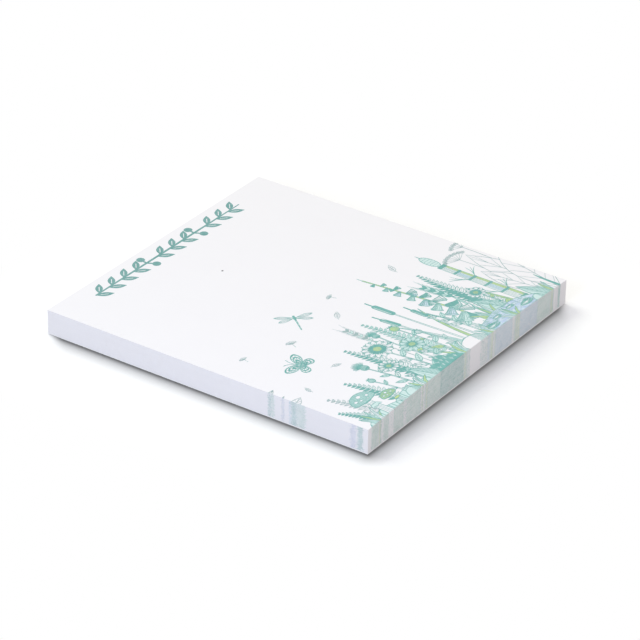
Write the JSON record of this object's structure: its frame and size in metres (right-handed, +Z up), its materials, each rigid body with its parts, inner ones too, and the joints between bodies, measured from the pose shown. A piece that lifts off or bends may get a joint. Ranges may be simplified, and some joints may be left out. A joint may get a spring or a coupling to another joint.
{
  "type": "sticky note pad",
  "caption": "Square-cut pad of printed sticky notes on a thin backing card, bound along one edge, its free edge arching slightly across the width.",
  "frame": {"origin": "middle of the underside, which lies on the desk", "axes": "+Z up out of the top note, +Y from the free edge to the glued edge, +X from left to right across a note"},
  "size_m": [0.07, 0.075, 0.0062],
  "materials": {
    "note_paper": "smooth uncoated white paper",
    "backing_card": "smooth plain white card"
  },
  "bodies": {
    "root": {"note_sheets": "note_paper", "backing_sheet": "backing_card"}
  },
  "joints": []
}
